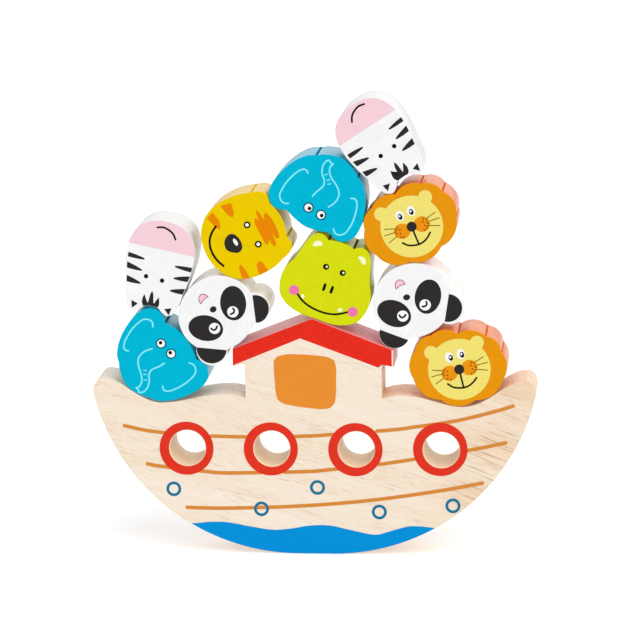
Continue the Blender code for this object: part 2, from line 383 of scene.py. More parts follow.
def flowing(knots, notches=(), steps=CURVE_STEPS):
    """Closed curve: Hermite cubics between knots; at a notch both sides start straight."""
    notches = list(notches)
    following = np.roll(knots, -1, axis=0)
    ahead = following - knots
    behind = np.roll(ahead, 1, axis=0)
    reach = norm(ahead, axis=1, keepdims=True)
    back = norm(behind, axis=1, keepdims=True)
    heading = (behind / back * reach + ahead / reach * back) / (reach + back)
    leaving, arriving = heading * reach, heading * back
    leaving[notches] = ahead[notches]
    arriving[notches] = behind[notches]
    t = (np.arange(steps) / steps)[None, :, None]
    share = 2 * t**3 - 3 * t**2 + 1
    curve = share * knots[:, None] + (1 - share) * following[:, None]
    curve = curve + (t**3 - 2 * t**2 + t) * leaving[:, None]
    curve = curve + (t**3 - t**2) * np.roll(arriving, -1, axis=0)[:, None]
    return curve.reshape(-1, 2)


def winding(loop):
    """Twice the area inside a closed loop, positive if the loop runs counter-clockwise."""
    x, z = loop.T
    return np.sum(x * np.roll(z, -1) - np.roll(x, -1) * z)


def leftward(loop):
    """Closed loop in the order that keeps its inside on the left (counter-clockwise)."""
    return loop if winding(loop) > 0 else loop[::-1]


def moved(loop, distance):
    """Closed loop moved to its left: along the mean normal of its two sides, longer at corners."""
    side = np.roll(loop, -1, axis=0) - loop
    left = np.stack([-side[:, 1], side[:, 0]], axis=1)
    left = left / norm(side, axis=1, keepdims=True)
    both = left + np.roll(left, 1, axis=0)
    return loop + distance * both * 2 / np.maximum(np.sum(both**2, axis=1, keepdims=True), 1.0)


def turned(points, tilt):
    """Points turned clockwise, seen from the front, by degrees."""
    c, s = cos(radians(tilt)), sin(radians(tilt))
    x, z = points[..., 0], points[..., 1]
    return np.stack([x * c + z * s, z * c - x * s], axis=-1)


def nearest(points, loop):
    """For each point, the nearest point of a closed loop."""
    side = np.roll(loop, -1, axis=0) - loop
    to = points[:, None] - loop
    share = np.clip(np.sum(to * side, axis=2) / np.sum(side**2, axis=1), 0.0, 1.0)
    foot = loop + share[..., None] * side
    closest = norm(points[:, None] - foot, axis=2).argmin(axis=1)
    return foot[np.arange(len(points)), closest]


print("a square's corner, moved inwards by 0.5:", moved(xz("0 0  2 0  2 2  0 2"), 0.5)[0])

# %% [markdown]
# ### Six kinds of head
#
# The zebra, elephant, tiger and hippo are drawn through knots on their right half, in percent of
# half their width and height, and mirrored. The lion is a ring of arcs, one for each lock of its
# mane. The panda is an ellipse with two round ears. The notches are kept, because shade is painted
# into these creases: a darker paint stands in for their shadow.

# %% The six kinds of head
SIZES = {"zebra": (33.8, 46.9), "elephant": (48.5, 38.2), "tiger": (41.0, 41.6),
         "hippo": (45.6, 41.0), "lion": (47.2, 37.5), "panda": (39.5, 36.5)}
KNOTS = {
    "zebra": xz("""
        0 85  20 87  33 95  48 100  65 94  77 77  85 50  95 16  100 -19  96 -51  77 -79  44 -95
        0 -100"""),
    "elephant": xz("""
        0 100  25 95  49 85  60 91  74 93  89 83  98 64  100 42  96 11  87 -22  72 -53  60 -68
        47 -76.5  35 -87  20 -95  0 -100"""),
    "tiger": xz("""
        0 100  26 97  45 91  55 93  66 94  78 86  85 73  88 62  96 38  100 7  98 -23  89 -52
        70 -76  41 -93  0 -100"""),
    "hippo": xz("""
        0 96  18 94  29 91  37 97  47 100  59 96  68 84  75 65  80 43  87 19  96 -1  100 -26
        97 -51  88 -73  71 -88  46 -98  0 -100"""),
    "lion": xz("0 86  57 81  90 39  93 -35  36 -90"),
}
NOTCHES = {"zebra": [], "elephant": [2, 12], "tiger": [2, 7], "hippo": [2],
           "lion": [0, 1, 2, 3, 4]}
LOCK_BULGE = 0.18
PANDA_EARS, PANDA_EAR = np.array([(-14.9, 11.1), (14.9, 11.1)]), 7.7
# the ark and the zebras are made this much smaller than their solids, the other heads fuller
SKIN, FULLER = 0.05, 0.05


def knotted(half, notches):
    """Head outline: a right half, given from the top to the chin, and its mirror image."""
    closed = np.vstack([half, flip(half[-2:0:-1])])
    return flowing(closed, [*notches, *(len(closed) - i for i in notches)])


def locks(half, bulge, steps=24):
    """Ring of arcs between notches; each arc rises by a share of its chord."""
    notches = np.vstack([half, flip(half[:0:-1])])
    chord = np.roll(notches, -1, axis=0) - notches
    outward = np.stack([-chord[:, 1], chord[:, 0]], axis=1)
    opening = 2 * np.arctan(2 * bulge)
    swing = opening * (np.arange(steps) / steps * 2 - 1)
    along = np.sin(swing) / np.sin(opening)
    lift = (np.cos(swing) - np.cos(opening)) / (2 * np.sin(opening))
    ring = (notches + chord / 2)[:, None] + chord[:, None] / 2 * along[None, :, None]
    return (ring + outward[:, None] * lift[None, :, None]).reshape(-1, 2)


def eared(width, height, ears, radius, steps=360):
    """In each direction from the middle, the farther of an ellipse and round ears."""
    swing = np.arange(steps) / steps * 2 * pi
    ray = np.stack([np.sin(swing), np.cos(swing)], axis=1)
    far = 1 / norm(ray / (width / 2, height / 2), axis=1)
    along = ray @ np.array(ears).T
    depth = along**2 - np.sum(np.array(ears)**2, axis=1) + radius**2
    hit = along + np.sqrt(np.maximum(depth, 0.0))
    hit = np.where((depth > 0) & (along > 0), hit, 0.0).max(axis=1)
    return ray * np.maximum(far, hit)[:, None]


halves = {kind: knots / 100 * (np.array(SIZES[kind]) / 2) for kind, knots in KNOTS.items()}
kinds = {kind: locks(half, LOCK_BULGE) if kind == "lion" else knotted(half, NOTCHES[kind])
         for kind, half in halves.items()}
kinds["panda"] = eared(*SIZES["panda"], PANDA_EARS, PANDA_EAR)
kinds = {kind: moved(leftward(loop), SKIN if kind == "zebra" else -FULLER)
         for kind, loop in kinds.items()}
# notch points of each kind, where shade is painted into the creases
shade_notches = {kind: np.vstack([half[NOTCHES[kind]], flip(half[NOTCHES[kind]])])
           for kind, half in halves.items() if NOTCHES[kind]}
print({kind: np.round(np.ptp(loop, axis=0), 1).tolist() for kind, loop in kinds.items()})

# %% [markdown]
# ## From outline to solid
#
# A sawn piece is a profile carried along its outline: from the front face over a rounded edge,
# down the side, and round the back edge. As a grid it is ring after ring, each the outline moved
# inwards by the profile's inset. The two open faces are capped: one many-sided face for a plain
# outline, triangles where there are holes. A Bevel modifier gives the same form, but here the
# rings say which faces are front, rounded edge or side, so each gets its own finish.

# %% Closed solids from rings
EDGE, FACE = 0.3, 14.8
ROUND_STEPS, FLAT_RIM = 6, 0.5
SHARP = radians(40)


def shell(grids):
    """Closed surface from grids of rings (ring, point, xyz), front ring first, capped at both
    ends. Returns points, faces, and for each face its ring number, or -1 for a cap."""
    sizes = [grid.shape[0] * grid.shape[1] for grid in grids]
    starts = np.concatenate([[0], np.cumsum(sizes)[:-1]])
    points = np.vstack([grid.reshape(-1, 3) for grid in grids])
    index = [s + np.arange(n).reshape(g.shape[:2]) for s, n, g in zip(starts, sizes, grids)]
    ahead = [np.roll(i, -1, axis=1) for i in index]
    quads = [np.stack([i[:-1], i[1:], a[1:], a[:-1]], axis=-1).reshape(-1, 4)
             for i, a in zip(index, ahead)]
    rings = [np.repeat(np.arange(len(i) - 1), i.shape[1]) for i in index]
    faces, numbers = np.vstack(quads).tolist(), np.concatenate(rings).tolist()
    for end in (0, -1):
        caps = lid(points, [i[end] for i in index])
        faces += [cap[::-1] for cap in caps] if end else caps
        numbers += [-1] * len(caps)
    return points, faces, np.array(numbers)


def lid(points, rims):
    """Flat cap over loops of point numbers, facing the front; the loops after the first are
    holes, and then the cap is cut into triangles."""
    if len(rims) == 1:
        return [rims[0].tolist()]
    order = np.concatenate(rims)
    flat = [np.insert(points[rim][:, [0, 2]], 2, 0.0, axis=1).tolist() for rim in rims]
    corners = order[np.array(tessellate_polygon(flat))]
    a, b, c = np.moveaxis(points[corners][:, :, [0, 2]], 1, 0)
    area = (b - a)[:, 0] * (c - a)[:, 1] - (b - a)[:, 1] * (c - a)[:, 0]
    corners[area < 0] = corners[area < 0][:, ::-1]
    return corners[area != 0].tolist()


def at_depths(rings, depths):
    """Grid of points from flat rings (ring, point, xz) and a depth for each ring."""
    depth = np.repeat(np.array(depths)[:, None], rings.shape[1], axis=1)
    return np.stack([rings[..., 0], depth, rings[..., 1]], axis=-1)


def sawn(loops, edges):
    """Board: rings with a quarter round at either edge of the side, one radius for each loop.
    Returns points, faces and for each face its finish: 0 face, 1 rounded edge, 2 side."""
    arc = np.linspace(0, pi / 2, ROUND_STEPS)
    grids = []
    for loop, edge in zip(loops, edges):
        inset = np.concatenate([[edge + FLAT_RIM], edge * (1 - np.sin(arc))])
        depth = np.concatenate([[FACE], FACE - edge * (1 - np.cos(arc))])
        rings = np.stack([moved(loop, i) for i in (*inset, *inset[::-1])])
        grids.append(at_depths(rings, np.concatenate([-depth, depth[::-1]])))
    points, faces, numbers = shell(grids)
    steps = len(grids[0]) // 2 - 1
    marks = np.where(numbers == steps, 2, 1)
    return points, faces, np.where((numbers < 1) | (numbers == 2 * steps), 0, marks)


def build(name, body, points, faces, marks, finishes):
    """Mesh object from points in millimetres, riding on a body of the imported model."""
    mesh = bpy.data.meshes.new(name)
    mesh.from_pydata((points * MM).tolist(), [], faces)
    for material in finishes:
        mesh.materials.append(material)
    mesh.polygons.foreach_set("material_index", np.array(marks, dtype=np.int32))
    mesh.shade_smooth()
    mesh.set_sharp_from_angle(angle=SHARP)
    piece = linked(name, mesh)
    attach(piece, body)
    return piece


print("edge radius", EDGE, "mm, face", FACE, "mm from the middle of the board")

# %% [markdown]
# ## Ink shapes
#
# A disc, a blob through knots and a brush line are closed outlines, and a mark that runs over the
# rounded edge is a grid between two curves, with its rows close together at both. Image textures
# would be quicker, but their edges blur up close; an outline stays sharp.

# %% Outlines for ink
def disc(x, z, wide, high=None, lean=0.0, steps=40):
    """Ellipse: wide and high are its half axes, leaning clockwise by degrees."""
    swing = np.arange(steps) / steps * 2 * pi
    high = wide if high is None else high
    return turned(np.stack([wide * np.cos(swing), high * np.sin(swing)], axis=1), lean) + (x, z)


def path(knots, steps=8):
    """Open curve through knots: Catmull-Rom cubics, carried straight on at the ends."""
    p = np.vstack([2 * knots[0] - knots[1], knots, 2 * knots[-1] - knots[-2]])[:, None]
    t = (np.arange(steps) / steps)[None, :, None]
    a, b, c, d = p[:-3], p[1:-2], p[2:-1], p[3:]
    curve = b + (c - a) / 2 * t + (a - 2.5 * b + 2 * c - d / 2) * t**2
    curve = curve + (1.5 * (b - c) + (d - a) / 2) * t**3
    return np.vstack([curve.reshape(-1, 2), p[-2]])


def brush(line, width):
    """Line of ink: a path moved half its width to either side, closed by two half circles."""
    heading = np.gradient(line, axis=0)
    heading = heading / norm(heading, axis=1, keepdims=True) * width / 2
    side = np.stack([-heading[:, 1], heading[:, 0]], axis=1)
    swing = np.linspace(0, pi, 9)[1:-1, None]
    tip = line[-1] + side[-1] * np.cos(swing) + heading[-1] * np.sin(swing)
    tail = line[0] - side[0] * np.cos(swing) - heading[0] * np.sin(swing)
    return np.vstack([line + side, tip, (line - side)[::-1], tail])


def dash(x, z, long, lean, width):
    """Short straight line of ink through a middle point."""
    reach = turned(np.array([(-long / 2, 0.0), (long / 2, 0.0)]), lean)
    return brush(np.linspace(reach[0], reach[1], 5) + (x, z), width)


def eased(count):
    """Shares from 0 to 1, close together at both ends: (1 - cos(pi t)) / 2."""
    return (1 - np.cos(pi * np.linspace(0, 1, count))) / 2


def along(curve, shares):
    """Points at the given shares of a curve's length."""
    gone = np.insert(np.cumsum(norm(np.diff(curve, axis=0), axis=1)), 0, 0.0)
    return np.stack([np.interp(shares * gone[-1], gone, axis) for axis in curve.T], axis=1)


def ruled(first, second, rows=24):
    """Grid between two curves with the same number of points, its rows closer at both."""
    return first[None] + (second - first)[None] * eased(rows)[:, None, None]


print("a dash 5 mm long:", len(dash(0, 0, 5, 0, 1)), "points; a disc:", len(disc(0, 0, 5)))

# %% [markdown]
# ### Films of ink
#
# Print is a thin film that stands a few hundredths of a millimetre proud, with a foot inside the
# wood, so it is a closed solid. At the rounded edge it bends with the wood: the fall at a
# distance d from the outline is r - sqrt(r^2 - (r - d)^2). Marks that overlap lie in layers, and
# every mark is a hair higher than the one before it.

# %% Lay films of ink
LAYER, STEP, FOOT = 0.025, 0.0015, 0.15


def fall(points, board, edge):
    """How far the board's rounded edge has dropped below its face at these points."""
    distance = norm(points - nearest(points, board), axis=1)
    gap = np.clip(edge - distance, 0.0, edge)
    return edge - np.sqrt(edge**2 - gap**2)


def spot(loops, lift):
    """Flat film: an outline, and the outlines of its holes, from its top to its foot."""
    loops = [leftward(loop)[::1 if number == 0 else -1] for number, loop in enumerate(loops)]
    depths = (-FACE - lift, FOOT - FACE)
    return shell([at_depths(np.stack([loop, loop]), depths) for loop in loops])[:2]


def drape(grid, lift, board, edge):
    """Film over the rounded edge: a grid of points (row, column, xz) lowered as the wood falls
    away, the same grid again as its foot, and a rim that joins the two."""
    rows, columns = grid.shape[:2]
    flat = grid.reshape(-1, 2)
    sag = fall(flat, board, edge)
    points = np.vstack([np.insert(flat, 1, sag - FACE - lift, axis=1),
                        np.insert(flat, 1, sag + FOOT - FACE, axis=1)])
    i = np.arange(rows * columns).reshape(rows, columns)
    rim = np.concatenate([i[0, :-1], i[:-1, -1], i[-1, :0:-1], i[:0:-1, 0]])
    top = np.stack([i[:-1, :-1], i[:-1, 1:], i[1:, 1:], i[1:, :-1]], axis=-1).reshape(-1, 4)
    under = rim + len(flat)
    wall = np.stack([rim, under, np.roll(under, -1), np.roll(rim, -1)], axis=-1)
    faces = np.vstack([top, top[:, ::-1] + len(flat), wall])
    return points, (faces if winding(flat[rim]) > 0 else faces[:, ::-1]).tolist()


def set_down(points, place):
    """Points of a head, drawn upright, put at its place and tilt in the stack."""
    x, z, tilt = place
    flat = turned(points[:, [0, 2]], tilt) + (x, z)
    return np.stack([flat[:, 0], points[:, 1], flat[:, 1]], axis=1)


def print_on(name, body, marks, board, edge, place=None):
    """All the ink of one piece as one object. A mark is its ink, its layer, and either a list of
    outlines or a grid; the back of the piece carries the same print, seen through the board."""
    points, faces, finishes = [], [], []
    names = sorted({mark[0] for mark in marks})
    count = 0
    for order, (ink, layer, shape) in enumerate(marks):
        lift = layer * LAYER + order * STEP
        spots, sides = (spot(shape, lift) if isinstance(shape, list)
                        else drape(shape, lift, board, edge))
        for cloud, way in ((spots, 1), (spots * (1.0, -1.0, 1.0), -1)):
            points.append(cloud)
            faces += [[i + count for i in side[::way]] for side in sides]
            finishes += [names.index(ink)] * len(sides)
            count += len(cloud)
    points = np.vstack(points)
    points = points if place is None else set_down(points, place)
    return build(name, body, points, faces, finishes, [inks[n] for n in names])


print("ink layers of", LAYER, "mm")

# %% [markdown]
# ## The ark
#
# One board: a round bilge on a short flat keel, a deck with two hollows, the house and its roof.
# The outline goes from the ridge down the right side to the keel and is mirrored; only the left
# hollow is a little shallower. Straight sides have no points in between, because a point close to
# a sharp corner would cross it when the outline is moved inwards.

# %% Ark outline
BEAM, KEEL, GUNWALE = 110.0, 8.5, 82.0
CREST, BOW_ROUND = 88.5, 4.8
WALL, EAVE = 33.9, 40.0
RIDGE, EAVE_TOP, EAVE_END, EAVE_ROOT = 119.5, 103.9, 95.1, 96.4
HUMP, WALL_FOOT = (44.5, 80.8), 79.0
RIGHT_HOLLOW, LEFT_HOLLOW = (74.2, 75.4), (76.2, 76.5)
PORTHOLES = np.array([[-63.15, 53.6], [-21.05, 53.6], [21.05, 53.6], [63.15, 53.6]])
PORTHOLE = 8.9


def wave(start, end, steps):
    """Half a cosine wave from one turning point of the deck to the next."""
    t = np.arange(steps) / steps
    return np.stack([start[0] + (end[0] - start[0]) * t,
                     start[1] + (end[1] - start[1]) * (1 - np.cos(pi * t)) / 2], axis=1)


house = np.array([(0, RIDGE), (EAVE, EAVE_TOP), (EAVE, EAVE_END), (WALL, EAVE_ROOT)])
t = np.arange(12) / 12
hump = np.stack([WALL + (HUMP[0] - WALL) * t,
                 HUMP[1] - (HUMP[1] - WALL_FOOT) * (1 - t)**2], axis=1)
decks = [np.vstack([wave(HUMP, hollow, 36), wave(hollow, (BEAM - BOW_ROUND, CREST), 40)])
         for hollow in (RIGHT_HOLLOW, LEFT_HOLLOW)]
swing = np.arange(16) / 16 * pi / 2
bow = np.stack([BEAM - BOW_ROUND + BOW_ROUND * np.sin(swing),
                GUNWALE + (CREST - GUNWALE) * np.cos(swing)], axis=1)
bilge = ((BEAM - KEEL)**2 + GUNWALE**2) / (2 * GUNWALE)
top = np.arcsin((bilge - GUNWALE) / bilge)
swing = top + (pi / 2 - top) * np.arange(121) / 120
side = np.stack([KEEL + bilge * np.cos(swing), bilge - bilge * np.sin(swing)], axis=1)
right_half, left_half = (np.vstack([house, hump, deck, bow, side]) for deck in decks)
ark_loop = moved(leftward(np.vstack([right_half, flip(left_half[:0:-1])])), SKIN)
bores = [leftward(disc(x, z, PORTHOLE + SKIN, steps=72))[::-1] for x, z in PORTHOLES]
print("ark outline:", len(ark_loop), "points,", len(bores), "portholes, bilge", round(bilge, 1))

# %% [markdown]
# The front and back show the board's grain, the sides the sawn edge and the portholes a warmer
# wood. The top and ends of the roof are painted red, paled to pink as a painted reflection, with a
# paler painted highlight along the rounded edge. One mesh carries all five finishes: a face's
# finish is picked by where its middle lies.

# %% Ark board
ARK_EDGE, BORE_EDGE = 0.35, 0.3
ROOF_FOOT = 100.0
END_DEPTH, END_LIFT = ARK_EDGE + 0.2, 0.3
NEAR = 1.0
# roughness and gloss of the roof's paint
ROOF = (0.42, 0.3)

# the roof's red paint, paled towards pink as a painted reflection, and its rounded edge paler still
# as a painted highlight
roof_paint_and_reflection = painted("roof_paint_and_reflection", (242, 92, 108), 0.0, *ROOF, streak=0.5, sheen=0.5)
roof_edge_paint_and_highlight = painted("roof_edge_paint_and_highlight", (238, 134, 136), 0.0, *ROOF, streak=0.1)
points, faces, marks = sawn([ark_loop, *bores], [ARK_EDGE] + [BORE_EDGE] * len(bores))
x, _, z = np.array([points[face].mean(axis=0) for face in faces]).T
roof_end = (np.abs(x) > EAVE - END_DEPTH) & (z > EAVE_END + END_LIFT)
roofing = (marks > 0) & (np.abs(x) < EAVE + NEAR) & ((z > ROOF_FOOT) | roof_end)
to_bores = norm(np.stack([x, z], axis=1)[:, None] - PORTHOLES, axis=2).min(axis=1)
boring = (marks > 0) & (to_bores < PORTHOLE + NEAR)
finishes = np.select([roofing & (marks == 2), roofing, boring, marks == 2], [3, 4, 2, 1], 0)
ark = build("ark_board", "ark", points, faces, finishes,
            [board_wood, edge_wood, bore_wood, roof_paint_and_reflection, roof_edge_paint_and_highlight])
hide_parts("ark")
print("ark board:", len(points), "points,", int(roofing.sum()), "red faces on the roof,",
      int((finishes == 2).sum()), "faces in the bores")

# %% [markdown]
# ### Print on the ark
#
# Red rings round the portholes, three tan plank lines that stop at the rings, an orange window,
# teal bubbles, the blue wave along the keel and the red roof, which is printed slightly too far
# left, as on the real toy.

# %% Ark print
RING, RING_LEFT, RING_RISE = 13.5, 0.5, (-0.2, -0.2, -0.2, 0.3)
RING_OVERLAP, BORE_GAP = 0.6, 0.1
PLANK = 1.85
BUBBLE, BUBBLE_HOLE = 3.75, 2.35
WAVE_TOP = xz("""
    -66 15  -59.3 15.2  -52 15.9  -44 15.8  -33 13.9  -21.3 12.2  -12 12.9  -2.4 14.5  7.6 14.6
    18 12.4  29.8 10.2  38 12.2  46.3 14.5  53 14.6  60.6 13.8  66 13""")
PLANKS = [
    xz("""
        -94.6 64.65  -82.2 62.1  -64 60.4  -46.2 59.6  -22 59.4  -4.2 60.1  1.8 60.4  37.8 63.5
        49.8 65.1  67.8 67.9  79.8 70.6  91.8 73.9  98.6 76.1"""),
    xz("""
        -83.4 45.3  -77.3 44.2  -54.1 41.6  -41.3 41  -5.3 42  6.7 43  36.7 46.7  77.7 53.8
        94.9 57.5"""),
    xz("""
        -63.9 23.2  -50.9 22.9  -38.9 23.1  -26.9 23.5  -14.9 24  3.1 25.2  21.1 26.9  39.1 29.2
        57.1 32  69.1 34.1  83.4 37"""),
]
WINDOW = xz("""
    -18.5 99.5  -14.1 101.2  -6.7 101.4  2 100.8  7.6 99.9  10.3 98.4  11.2 95.6  11.3 88.6
    11.1 81.1  10.4 77  8.5 74.7  5.4 73.9  -2 74.3  -10.7 75.5  -15.6 76.8  -17.8 78.6  -18.7 82.1
    -19.2 88.4  -19.6 95.3  -19.4 97.9""")
BUBBLES = xz("-70.4 32.6  -26.6 22.8  1.5 34  32.2 21.8  68.8 25.3")
GABLE = np.array([(-EAVE, EAVE_END + 0.4), (-6.3, 109.4), (32.2, 94.95), (34.2, 96.4),
                  (EAVE, 95.2)])
# the film's distance from the edge, and the wood left bare along the right slope and end
MARGIN, BARE_SLOPE, BARE_END = 0.12, 0.45, 1.1
THIN = 0.1

x = -EAVE + MARGIN + (2 * EAVE - MARGIN - BARE_END) * eased(70)
x = np.unique(np.concatenate([x, GABLE[1:-1, 0], [0.0]]))
slope = RIDGE - np.where(x < 0, MARGIN, BARE_SLOPE) - (RIDGE - EAVE_TOP) * np.abs(x) / EAVE
roof = ruled(np.stack([x, np.interp(x, *GABLE.T)], axis=1), np.stack([x, slope], axis=1))

crest = path(WAVE_TOP, 12)
offset = np.maximum(np.abs(crest[:, 0]) - KEEL, 0.0)
under = bilge - np.sqrt((bilge - MARGIN - SKIN)**2 - offset**2)
wet = crest[:, 1] - under > THIN
sea = ruled(crest[wet], np.stack([crest[wet, 0], under[wet]], axis=1))

ark_marks = [("wave_blue", 1, sea), ("roof_red", 1, roof), ("window_orange", 1, [flowing(WINDOW)])]
for knots in PLANKS:
    line = path(knots, 24)
    to_bores = norm(line[:, None] - PORTHOLES[None], axis=2).min(axis=1)
    clear = to_bores > RING - RING_OVERLAP
    runs = np.split(np.arange(len(line)), np.flatnonzero(np.diff(clear)) + 1)
    ark_marks += [("plank_tan", 1, [brush(line[run], PLANK)])
                  for run in runs if clear[run[0]] and len(run) > 3]
ark_marks += [("bubble_teal", 2, [disc(x, z, BUBBLE), disc(x, z, BUBBLE_HOLE)])
              for x, z in BUBBLES]
ark_marks += [("ring_red", 2, [disc(x - RING_LEFT, z + rise, RING, steps=96),
                               disc(x, z, PORTHOLE + BORE_EDGE + BORE_GAP, steps=96)])
              for (x, z), rise in zip(PORTHOLES, RING_RISE)]
ark_print = print_on("ark_print", "ark", ark_marks, ark_loop, ARK_EDGE)
print("ark print:", len(ark_marks), "marks,", len(ark_print.data.polygons), "faces")

# %% [markdown]
# ## The heads
#
# Each kind of head has one printed design, drawn upright: a list of marks, each with its ink, its
# layer and its outlines. The elephant is drawn in lines, with a bent trunk between two ears.

# %% Elephant design
LINE, RUNG, RUNG_LEAN, RUNG_LINE = 0.75, 1.3, -47, 0.5
EYE_RIM, EYE, PUPIL, PUPIL_RISE = 2.55, 1.95, 0.92, 0.1
# middle of each eye, and how far its pupil looks to the right
ELEPHANT_EYES = ((-4.8, 9.2, -0.45), (2.3, 9.3, -0.65))
EAR_LEFT = xz("""
    -13.6 12  -15.4 13.4  -17.5 13.1  -19.5 11  -20 7.3  -19.8 3.7  -19 0.1  -17.8 -3.3  -16.4 -5.5
    -14.8 -6.2  -13.1 -5.5""")
EAR_RIGHT = xz("""
    11.8 12.7  13.6 13.6  15.7 13.2  17.6 11.2  18.1 7.6  17.9 4.1  17.2 0.5  16.1 -2.8  14.6 -5.3
    12.9 -6.1  11.2 -5.2""")
TRUNK = xz("""
    -5.9 4  -7.2 1.4  -7.7 -1.4  -7.2 -4  -5.4 -6.2  -3 -7.7  -0.4 -8.9  1.9 -10.6  3.2 -12.6
    3.4 -14.2  2.9 -15.6""")
TRUNK_TIP = xz("""
    2.9 -15.6  4.3 -15.5  5.6 -16.1  6.5 -15  6.9 -13.2  6.3 -10.6  4.8 -8.3  2.8 -6.6  1.6 -4.3
    2.1 -1.7  3 0.8  3.4 3.4""")
RUNGS = xz("-0.5 -6.1  1 -7.5  3.2 -9.3")

designs = {}


def keep(kind, marks):
    """Keep a design under its name."""
    designs[kind] = marks
    print(kind + ":", len(marks), "marks")


elephant = [("line_cyan", 1, [brush(path(knots), LINE)])
            for knots in (EAR_LEFT, EAR_RIGHT, TRUNK, TRUNK_TIP)]
elephant += [("line_cyan", 1, [dash(x, z, RUNG, RUNG_LEAN, RUNG_LINE)]) for x, z in RUNGS]
for x, z, glance in ELEPHANT_EYES:
    elephant += [("rim_teal", 1, [disc(x, z, EYE_RIM)]), ("white", 2, [disc(x, z, EYE)]),
                 ("line_black", 3, [disc(x + glance, z + PUPIL_RISE, PUPIL, steps=24)])]
keep("elephant", elephant)

# %% [markdown]
# The zebra's stripes are wedges that run in from both edges, and its mane is a crown of spikes
# between the ears. Its pink muzzle follows the block's outline, so it is added later.

# %% Zebra design
BOLD, ZEBRA_LINE, ZEBRA_EYE = 0.1, 0.95, 1.1
ZEBRA_EYES = xz("5.4 5.2  -2.8 5.6")
STRIPES = xz("""
    16.3 -4.8  16.3 -2.6  7.9 -3.1  16.1 0  15.6 3  8.1 2.7
    14.9 6.7  14.4 9.8  7.5 9.2  -16.2 -3.9  -16 -1.6  -7.7 -2.8
    -15.9 0.5  -15.3 3.5  -8.2 3.1  -14.8 7.2  -14.3 10.2  -7.7 9.6""").reshape(6, 3, 2)
MANE = xz("""
    -2.9 14.4  -2.2 15.6  -1.6 17.1  -1.2 18.6  -0.4 16.2  0.1 13.6  0.9 11.9  1.4 13.2  1.6 15.9
    1.8 18.5  3.2 16.5  4.4 14.4  4.8 15.9  4.8 18  4.1 19.6  2.3 20.5  0.1 20.7  -1.8 20.5
    -2.9 19.7  -3.6 18.2  -3.4 16.3""")
MANE_TIPS = [0, 3, 6, 9, 11]
ZEBRA_MOUTH = xz("4.7 -20  1.9 -20.6  -1 -19.9  -3.5 -18.4  -5.2 -16")
ZEBRA_EARS = xz("10.2 18.4  6.7 19.5  9.2 22.3  -6.6 19.3  -10.2 18.2  -9.5 22").reshape(2, 3, 2)


def wedge(low, high, tip, blunt=0.38, bulge=0.2):
    """Stripe from a broad base to a blunt tip; its long sides bulge by 4 t (1 - t)."""
    across = (high - low) / norm(high - low)
    t = np.linspace(0, 1, 12)[:, None]
    swell = 4 * t * (1 - t) * bulge * across
    first = low + (tip - across * blunt - low) * t - swell
    second = high + (tip + across * blunt - high) * t + swell
    return np.vstack([first, second[::-1]])


mane = moved(leftward(flowing(MANE, MANE_TIPS, 6)), -BOLD)
zebra = [("line_black", 2, [brush(path(ZEBRA_MOUTH), ZEBRA_LINE)]), ("black", 1, [mane])]
zebra += [("black", 1, [flowing(ear, [0, 1, 2], 6)]) for ear in ZEBRA_EARS]
zebra += [("line_black", 1, [disc(x, z, ZEBRA_EYE, steps=28)]) for x, z in ZEBRA_EYES]
zebra += [("black", 1, [wedge(*stripe)]) for stripe in STRIPES]
keep("zebra", zebra)

# %% [markdown]
# The panda's ears are black beyond a straight line. That ink runs over the rounded edge, so each
# ear is a grid between the line and the arc. Its eyes are closed, white discs with a lid each.

# %% Panda design
TONGUE = xz("3.5 -8.8  3.1 -10.7  1.8 -12  0.1 -12.3  -1.3 -11.2  -1.7 -9  0.9 -9.3")
# ends of each ear's straight line, and the radius of its arc
EAR_LINES = (((-10.5, 16.1), (-18.6, 4.9), 6.95), ((20.1, 5.5), (9.9, 16.6), 7.45))
EAR_PULL = 0.005
# middle and lean of each eye patch, then the level and the half axes of both
EYE_PATCHES, PATCH_LEVEL, PATCH_SIZE = ((-8.7, 39), (10.0, -39)), 1.6, (6.45, 8.65)
PANDA_EYES, EYE_LEVEL, PANDA_EYE, LID_LINE = (-5.6, 6.8), 4.65, 2.8, 0.92
PANDA_NOSE = (0.8, -2.8, 1.75, 1.5, 10)
LIDS = xz("""
    -6.8 3.4  -6.7 4.4  -5.6 5.2  -4 4.8  8.1 3.5  7.9 4.7  6.8 5.3  5.2 4.7""").reshape(2, 4, 2)
TONGUE_GROW, TONGUE_RIM = 0.12, 0.38


def ear_ink(middle, first, last, radius):
    """Part of a disc beyond a chord: a grid between the chord and the arc."""
    ends = np.array([first, last], float) - middle
    start, stop = np.arctan2(ends[:, 1], ends[:, 0])
    swing = start + ((stop - start) % (2 * pi)) * eased(50)
    arc = middle + radius * np.stack([np.cos(swing), np.sin(swing)], axis=1)
    chord = arc[0] + (arc[-1] - arc[0]) * eased(50)[:, None]
    return ruled(chord * (1 - EAR_PULL) + middle * EAR_PULL, arc)


panda = [("black", 1, ear_ink(ear, *line)) for ear, line in zip(PANDA_EARS, EAR_LINES)]
panda += [("black", 1, [disc(x, PATCH_LEVEL, *PATCH_SIZE, lean, 64)]) for x, lean in EYE_PATCHES]
for x, knots in zip(PANDA_EYES, LIDS):
    panda += [("white", 2, [disc(x, EYE_LEVEL, PANDA_EYE)]),
              ("line_black", 3, [brush(path(knots), LID_LINE)])]
tongue = moved(leftward(flowing(TONGUE, [0, 5], 8)), -TONGUE_GROW)
panda += [("black", 1, [disc(*PANDA_NOSE)]), ("tongue_line", 1, [tongue]),
          ("tongue_pink", 2, [moved(tongue, TONGUE_RIM)])]
keep("panda", panda)

# %% [markdown]
# The hippo has pale patches on its ears, two small teeth above a wide mouth, and pink cheeks that
# cover the ends of the mouth.

